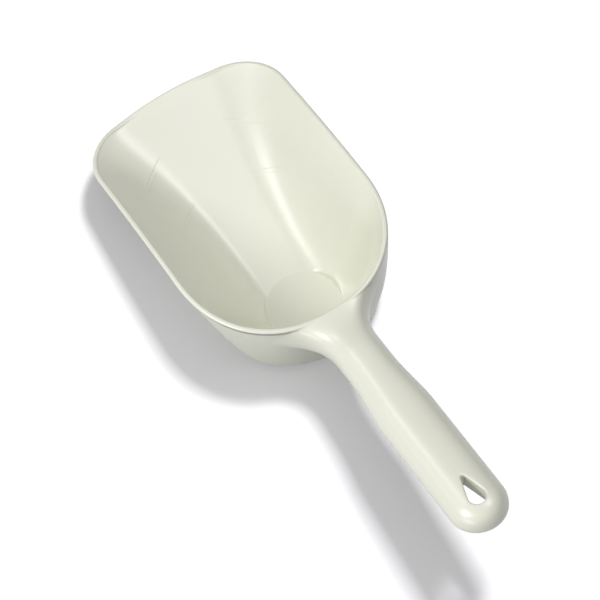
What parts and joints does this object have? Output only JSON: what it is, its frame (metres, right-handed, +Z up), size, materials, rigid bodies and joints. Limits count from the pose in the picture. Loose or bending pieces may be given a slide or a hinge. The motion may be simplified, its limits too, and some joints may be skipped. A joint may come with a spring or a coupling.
{
  "type": "ice scoop",
  "caption": "One-piece hand scoop with an open rounded bowl, a flat standing base, a pouring lip and an arched handle with a hang hole.",
  "frame": {"origin": "middle of the overall length and width, on the plane of the flat base", "axes": "+X towards the pouring lip, +Y to the left seen from the handle, +Z up out of the open bowl"},
  "size_m": [0.2768, 0.1, 0.0684],
  "materials": {
    "bowl": "satin-gloss ivory injection moulding",
    "handle": "satin-gloss ivory injection moulding",
    "hang_boss": "satin-gloss ivory injection moulding"
  },
  "bodies": {
    "root": {"bowl": "bowl", "handle": "handle", "hang_boss": "hang_boss"}
  },
  "joints": []
}
